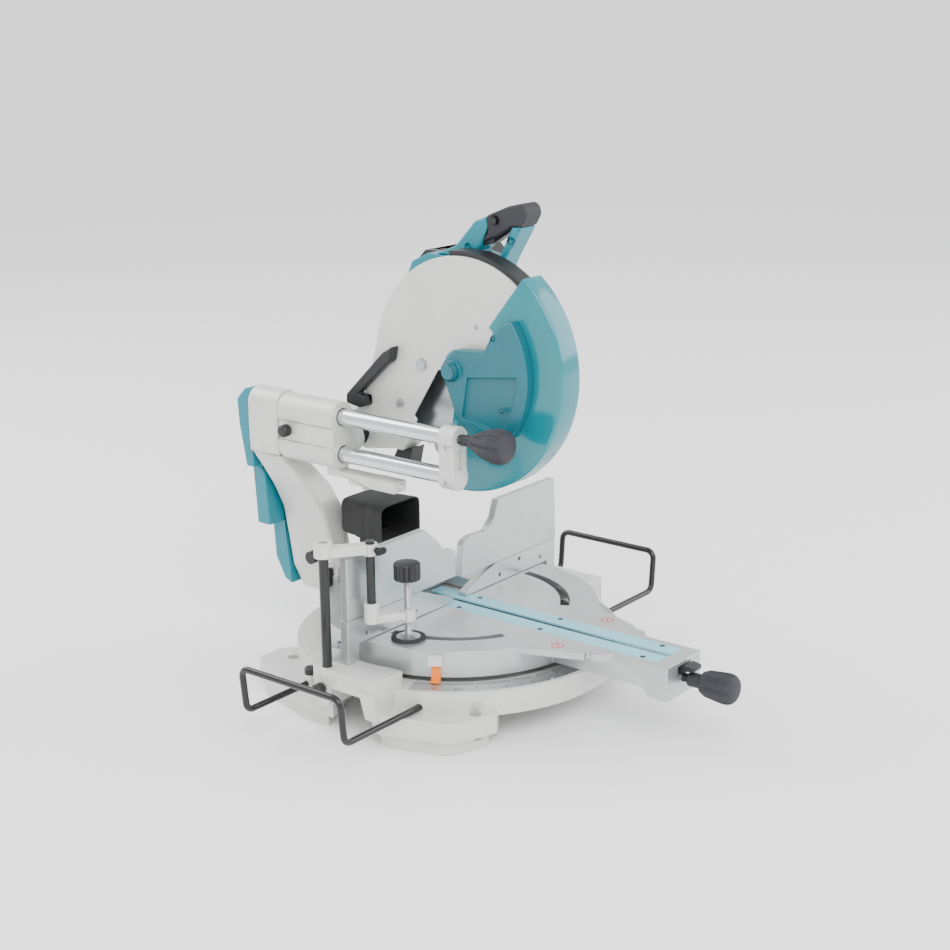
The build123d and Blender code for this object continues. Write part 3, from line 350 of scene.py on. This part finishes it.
# the screw's thread: the radius swings with height and turn together, one pitch a turn
screwLength = high[2] - low[2] - viseKnob["tall"]
turn = np.linspace(0, 2 * math.pi, 24, endpoint=False)
height = np.linspace(0, screwLength, int(screwLength / 0.4))
swing = np.sin(2 * math.pi * height[:, None] / viseKnob["pitch"] - turn[None, :])
radius = viseKnob["rod"] - viseKnob["thread"] + viseKnob["thread"] * swing
grid = np.stack([middle[0] + radius * np.cos(turn), middle[1] + radius * np.sin(turn),
                 low[2] + height[:, None] + 0 * radius], -1) * mm
settle(tube("viseScrewThread", grid, 60), "vise_clamp", zincSteel, "black_plastic")
print("knobs ready")


# dust hood on the turntable's neck
# each ring across Y is a superellipse, and the rings run back to front along the outside, round the lip
# and back along the inside
dustHood = {
    "power": 7.0, "wall": 3.0, "pleat": 1.6, "folds": 6, "foldSpan": (0.15, 0.85), "narrowing": 7.0,
    "rise": 8, "fall": 2, "outsideRings": 36, "insideRings": 24, "insideDepth": 0.88, "columns": 80,
}
low, high = corner("dust_hood")
depthY = high[1] - low[1]
outsideRings, insideRings = dustHood["outsideRings"], dustHood["insideRings"]
along = np.concatenate([
    np.linspace(1, 0, outsideRings), np.linspace(0, dustHood["insideDepth"], insideRings)])
inside = np.concatenate([np.zeros(outsideRings), np.ones(insideRings)])
inside[outsideRings] = 0.6  # the first inner ring rounds the lip
halfX = (high[0] - low[0]) / 2 - dustHood["narrowing"] * along - dustHood["wall"] * inside
bottom = low[2] + dustHood["rise"] * along + dustHood["wall"] * inside
top = high[2] - dustHood["fall"] * along - dustHood["wall"] * inside
# three shallow folds behind the lip let the rubber flex
folded = (along > dustHood["foldSpan"][0]) * (along < dustHood["foldSpan"][1])
fold = np.clip(np.sin(along * dustHood["folds"] * math.pi), 0, 1)
halfX -= dustHood["pleat"] * (1 - inside) * fold * folded
turn = np.linspace(0, 2 * math.pi, dustHood["columns"], endpoint=False)
c, s = np.cos(turn), np.sin(turn)
reach = (np.abs(c) ** dustHood["power"] + np.abs(s) ** dustHood["power"]) ** (-1 / dustHood["power"])
halfZ = (top - bottom) / 2
grid = np.stack([
    halfX[:, None] * (reach * c)[None, :],
    np.repeat((low[1] + along * depthY)[:, None], len(turn), 1),
    ((top + bottom) / 2)[:, None] + halfZ[:, None] * (reach * s)[None, :],
], -1) * mm
settle(tube("dustHoodMoulded", grid, 50), "turntable", hoodRubber, "hood", "dust_hood")
print("dust hood ready")


# lower guard about the blade
# a section in x and radius is carried round the blade's axis from one angle to the other
guard = {
    "low": -103, "high": 51, "outer": 178, "leftInner": 84, "rightInner": 118, "wall": 2.2, "thin": 1.8,
    "corner": 4.0, "hubBore": 16.05, "hubRim": 28, "spoke": (-100, -20), "spokeOuter": 86,
}
low, high = corner("lower_guard")
bladeLow, bladeHigh = corner("saw_blade")
axisY, axisZ = (bladeLow[1] + bladeHigh[1]) / 2, (bladeLow[2] + bladeHigh[2]) / 2
left, right = low[0], high[0]


def roundBlade(section, angles, closed=False):
    # the point at (x, r) and angle a is (x, axisY - r cos a, axisZ + r sin a)
    section = np.array(section, float)
    a = np.radians(angles)[:, None]
    x = np.repeat(section[None, :, 0], len(angles), 0)
    y = axisY - section[None, :, 1] * np.cos(a)
    z = axisZ + section[None, :, 1] * np.sin(a)
    return np.stack([x, y, z], -1) * mm


def fillet(cx, cr, radius, start, end, count=6):
    a = np.radians(np.linspace(start, end, count))
    return list(zip(cx + radius * np.cos(a), cr + radius * np.sin(a)))


k, wall, outer = guard["corner"], guard["wall"], guard["outer"]
section = (
    [
        (left + wall, guard["leftInner"]), (left + 0.6, guard["leftInner"]),
        (left, guard["leftInner"] + 0.6),
    ]
    + fillet(left + k, outer - k, k, 180, 90) + fillet(right - k, outer - k, k, 90, 0)
    + [
        (right, guard["rightInner"] + 0.5), (right - 0.5, guard["rightInner"]),
        (right - guard["thin"], guard["rightInner"]),
    ]
    + fillet(right - k, outer - k, k - guard["thin"], 0, 90)
    + fillet(left + k, outer - k, k - wall, 90, 180)
)
grid = roundBlade(section, np.linspace(guard["low"], guard["high"], 110))
settle(tube("guardShell", grid), "guard", guardPolycarbonate, "guard", "lower_guard")
spokeEdge = guard["spokeOuter"] - 1.5
flat = [
    (left, guard["hubRim"]), (left + wall, guard["hubRim"]), (left + wall, spokeEdge), (left, spokeEdge),
]
grid = roundBlade(flat, np.linspace(guard["spoke"][0], guard["spoke"][1], 40))
settle(tube("guardSpoke", grid), "guard", guardPolycarbonate, "guard")


def ringPiece(name, section, smoothAngle=35, columns=96):
    # a section carried all the way round the blade's axis, closed on itself
    grid = roundBlade(section, np.linspace(0, 360, columns, endpoint=False))
    rows, width = grid.shape[:2]
    index = np.arange(rows * width).reshape(rows, width)
    nextRow, nextColumn = np.roll(index, -1, axis=0), np.roll(index, -1, axis=1)
    both = np.roll(nextRow, -1, axis=1)
    quads = np.stack([index, nextColumn, both, nextRow], -1).reshape(-1, 4)
    return newObject(name, grid.reshape(-1, 3), quads.tolist(), smoothAngle)


hub = [
    (left, guard["hubBore"]), (left, guard["hubRim"]), (left + wall, guard["hubRim"]),
    (left + wall, guard["hubBore"]),
]
settle(ringPiece("guardHub", hub), "guard", guardPolycarbonate, "guard")
print("guard ready")

# the raised arc pressed into the blade case
caseArc = {"face": -25.0, "sunk": 0.3, "proud": 0.5, "radii": (74.5, 75.3, 77.7, 78.5), "turn": (44, 176)}
sunk, proud = caseArc["face"] + caseArc["sunk"], caseArc["face"] - caseArc["proud"]
arc = list(zip((sunk, proud, proud, sunk), caseArc["radii"]))
grid = roundBlade(arc, np.linspace(caseArc["turn"][0], caseArc["turn"][1], 70))
settle(tube("caseRaisedArc", grid), "head", castPaint, "casting")

# spring about the chop shaft: a round wire carried along a helix
springShape = {"turns": 4.5, "radius": 14.0, "wire": 1.8}
low, high = corner("return_spring")
middle = (low + high) / 2
t = np.linspace(0, 1, 260)
turn = 2 * math.pi * springShape["turns"] * t
xs = np.interp(t, [0, 1], [low[0] + springShape["wire"], high[0] - springShape["wire"]])
coil = springShape["radius"]
centre = np.stack([xs, middle[1] + coil * np.cos(turn), middle[2] + coil * np.sin(turn)], -1)
outward = np.stack([0 * turn, np.cos(turn), np.sin(turn)], -1)
ringTurn = np.linspace(0, 2 * math.pi, 10, endpoint=False)
outPart = np.cos(ringTurn)[None, :, None] * outward[:, None]
sidePart = np.sin(ringTurn)[None, :, None] * np.array([1.0, 0, 0])
grid = (centre[:, None] + springShape["wire"] * (outPart + sidePart)) * mm
settle(tube("returnSpringWound", grid, 60), "carriage", oxideSteel, "steel", "return_spring")


# printed marks
def marks(name, corners, height):
    # thin blocks: corners is n by 4 by 3 in mm, each lifted by the height along Z
    corners = np.array(corners, float)
    lifted = corners + np.array([0, 0, height])
    blocks = np.concatenate([corners, lifted], axis=1) * mm
    faces = np.array([
        [3, 2, 1, 0], [4, 5, 6, 7], [0, 1, 5, 4], [1, 2, 6, 5], [2, 3, 7, 6], [3, 0, 4, 7],
    ])
    every = (np.arange(len(blocks)) * 8)[:, None, None] + faces[None]
    return newObject(name, blocks.reshape(-1, 3), every.reshape(-1, 4).tolist())


# degree lines on the mitre scale: longer at every fifth, longest at every fifteenth
scaleLines = {
    "last": 62, "radius": 239.0, "longest": 13.0, "longer": 9.5, "short": 6.0, "bold": 0.45, "fine": 0.25,
    "sunk": 0.02, "film": 0.08,
}
low, high = corner("mitre_scale")
degrees = np.arange(-scaleLines["last"], scaleLines["last"] + 1)
length = np.where(
    degrees % 15 == 0, scaleLines["longest"],
    np.where(degrees % 5 == 0, scaleLines["longer"], scaleLines["short"]))
half = np.where(degrees % 5 == 0, scaleLines["bold"], scaleLines["fine"])
a = np.radians(degrees)
radial = np.stack([np.sin(a), -np.cos(a), 0 * a], -1)
across = np.stack([np.cos(a), np.sin(a), 0 * a], -1)
lift = np.array([0, 0, high[2] - scaleLines["sunk"]])
outerEdge = radial * scaleLines["radius"] + lift
innerEdge = radial * (scaleLines["radius"] - length)[:, None] + lift
step = across * half[:, None]
corners = np.stack([outerEdge - step, outerEdge + step, innerEdge + step, innerEdge - step], 1)
settle(marks("mitreScaleLines", corners, scaleLines["film"]), "base", blackInk, "black_plastic")

# a plain red ring with a bar on each wing of the turntable: keep hands clear
sign = {"x": 61.4, "y": -224.9, "outer": 9.5, "inner": 7.4}
tableTop = corner("kerf_boards")[1][2]
a = np.radians(np.linspace(0, 360, 49))
quads = []
for side in (-1, 1):
    centre = np.array([side * sign["x"], sign["y"], tableTop - 0.02])
    rim = np.stack([np.cos(a), np.sin(a), 0 * a], -1)
    outside, within = centre + rim * sign["outer"], centre + rim * sign["inner"]
    quads.append(np.stack([outside[:-1], outside[1:], within[1:], within[:-1]], 1))
    slant, thick = np.array([0.7071, 0.7071, 0]) * sign["inner"], np.array([0.7071, -0.7071, 0]) * 0.9
    bar = [centre - slant - thick, centre + slant - thick, centre + slant + thick, centre - slant + thick]
    quads.append(np.stack(bar)[None])
settle(marks("wingSigns", np.concatenate(quads), scaleLines["film"]), "turntable", redInk, "pointer")
print("marks ready")

# the grey cap on the pointer: the hull of the pointer's top block, grown about its middle
pointerCap = {"from": 105.5, "grow": 1.05}
points = np.empty(len(nodes["mitre_pointer"].data.vertices) * 3)
nodes["mitre_pointer"].data.vertices.foreach_get("co", points)
points = points.reshape(-1, 3)
points = points[points[:, 2] > pointerCap["from"] * mm]
points = points.mean(0) + (points - points.mean(0)) * pointerCap["grow"]
work = bmesh.new()
for point in points.tolist():
    work.verts.new(point)
bmesh.ops.convex_hull(work, input=work.verts)
mesh = bpy.data.meshes.new("pointerCap")
work.to_mesh(mesh)
work.free()
cap = bpy.data.objects.new("pointerCap", mesh)
bpy.context.scene.collection.objects.link(cap)
settle(cap, "turntable", castPaint, "casting")

# the rubber ring under the clamp's foot: a turned band round the steel disc
footRing = {"profile": [(0.0, 19.5), (0.2, 24.3), (3.0, 24.6), (3.6, 24.0), (3.7, 19.4)]}
low, high = corner("vise_pad")
start = ((low[0] + high[0]) / 2, (low[1] + high[1]) / 2, low[2])
grid = turnedGrid(start, (0, 0, 1), footRing["profile"], rows=24)
settle(tube("footRing", grid), "vise_clamp", hoodRubber, "hood")
print("small caps ready")

# floor, light and camera
world = bpy.data.worlds.new("studio")
world.use_nodes = True
world.node_tree.nodes["Background"].inputs["Color"].default_value = linear("#FCFCFD")
world.node_tree.nodes["Background"].inputs["Strength"].default_value = 1.5
bpy.context.scene.world = world

floorSize = 30.0
bpy.ops.mesh.primitive_plane_add(size=floorSize, location=(0, 0, 0))
floor = bpy.context.object
floor.name = "floor"
floorPaint, _, _ = newMaterial("paleStudioFloor", {"Base Color": linear("#FBFBFB"), "Roughness": 0.7})
floor.data.materials.append(floorPaint)


def areaLight(name, place, size, power):
    data = bpy.data.lights.new(name, "AREA")
    data.shape = "SQUARE"
    data.size = size
    data.energy = power
    lamp = bpy.data.objects.new(name, data)
    bpy.context.scene.collection.objects.link(lamp)
    toward = np.array([0, 0, 0.3]) - np.array(place)
    toward = toward / np.linalg.norm(toward)
    sideways = np.cross(toward, [0.0, 0.0, 1.0])
    sideways = sideways / np.linalg.norm(sideways)
    upward = np.cross(sideways, toward)
    aim = Matrix(np.stack([sideways, upward, -toward], 1).tolist())
    lamp.matrix_world = Matrix.Translation(place) @ aim.to_4x4()


areaLight("key", (-2.2, -2.6, 3.2), 2.4, 150)
areaLight("fill", (2.8, -2.2, 1.8), 2.6, 70)
areaLight("back", (-0.6, 2.8, 2.6), 2.0, 70)

cameraView = {
    "azimuth": -51.44, "elevation": 15.98, "roll": -0.66, "distance": 2.549, "right": 0.0224,
    "up": 0.3057, "lens": 63.85,
}
az, el, roll = (math.radians(cameraView[key]) for key in ("azimuth", "elevation", "roll"))
back = np.array([math.sin(az) * math.cos(el), -math.cos(az) * math.cos(el), math.sin(el)])
rightward = np.cross(-back, [0.0, 0.0, 1.0])
rightward = rightward / np.linalg.norm(rightward)
upward = np.cross(rightward, -back)
rightward, upward = (
    rightward * math.cos(roll) + upward * math.sin(roll),
    upward * math.cos(roll) - rightward * math.sin(roll),
)
place = rightward * cameraView["right"] + upward * cameraView["up"] + back * cameraView["distance"]
data = bpy.data.cameras.new("camera")
data.lens = cameraView["lens"]
data.sensor_width = 36
camera = bpy.data.objects.new("camera", data)
bpy.context.scene.collection.objects.link(camera)
facing = Matrix(np.stack([rightward, upward, back], 1).tolist()).to_4x4()
camera.matrix_world = Matrix.Translation(place.tolist()) @ facing
bpy.context.scene.camera = camera

low, high = cadBounds
print("scene ready")
